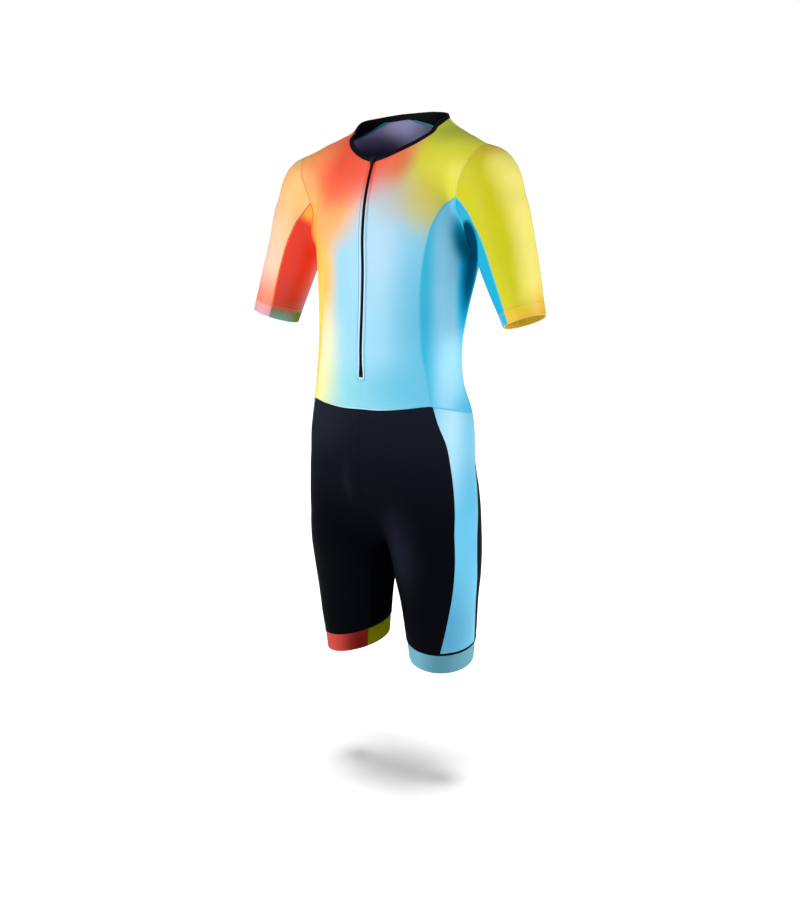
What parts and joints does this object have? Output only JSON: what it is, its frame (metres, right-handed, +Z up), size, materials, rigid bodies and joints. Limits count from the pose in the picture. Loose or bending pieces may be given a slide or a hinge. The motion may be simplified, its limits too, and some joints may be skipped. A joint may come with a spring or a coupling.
{
  "type": "triathlon suit",
  "caption": "Short-sleeved one-piece triathlon suit in its worn form: a seamed, zipped upper body joined to thigh-length shorts with side stripes and elastic leg bands.",
  "frame": {"origin": "on the shoulder line, midway between the two neck-side points: where the wearer holds the suit up", "axes": "+Z up, the front faces -Y, +X is the wearer's left"},
  "size_m": [0.564, 0.2379, 0.9404],
  "materials": {
    "yellow_green_cloth": "smooth stretch knit",
    "coral_cloth": "smooth stretch knit",
    "aqua_cloth": "smooth stretch knit",
    "orange_cloth": "smooth stretch knit",
    "red_cloth": "smooth stretch knit",
    "navy_cloth": "smooth stretch knit",
    "sky_cloth": "smooth stretch knit",
    "grey_teal_elastic": "elastic band",
    "red_elastic": "elastic band",
    "olive_elastic": "elastic band",
    "black_trim": "matte trim",
    "zip_teeth": "moulded coil",
    "dark_metal": "satin black"
  },
  "bodies": {
    "suit": {"front_left": "yellow_green_cloth", "front_right": "coral_cloth", "side_left": "aqua_cloth", "side_right": "orange_cloth", "sleeve_left": "yellow_green_cloth", "sleeve_right": "orange_cloth", "underarm_left": "aqua_cloth", "underarm_right": "red_cloth", "leg_front_left": "navy_cloth", "leg_front_right": "navy_cloth", "stripe_left": "sky_cloth", "stripe_right": "sky_cloth", "leg_back_left": "navy_cloth", "leg_back_right": "navy_cloth", "leg_inner_left": "navy_cloth", "leg_inner_right": "navy_cloth", "back": "sky_cloth", "cuff_left": "yellow_green_cloth", "cuff_right": "orange_cloth", "gripper_outer_left": "grey_teal_elastic", "gripper_outer_right": "red_elastic", "gripper_inner_left": "grey_teal_elastic", "gripper_inner_right": "olive_elastic", "neck_binding": "black_trim", "neck_facing": "black_trim", "zip_tape_left": "black_trim", "zip_tape_right": "black_trim", "zip_chain": "zip_teeth", "zip_slider": "dark_metal"},
    "pull_tab": {"pull_tab": "dark_metal"}
  },
  "joints": [
    {"name": "pull_tab_swing", "type": "hinge", "parent": "suit", "child": "pull_tab", "pos_m": [0, -0.08318, -0.05947], "axis": [-1, 0, 0], "range_deg": [0, 150]}
  ]
}
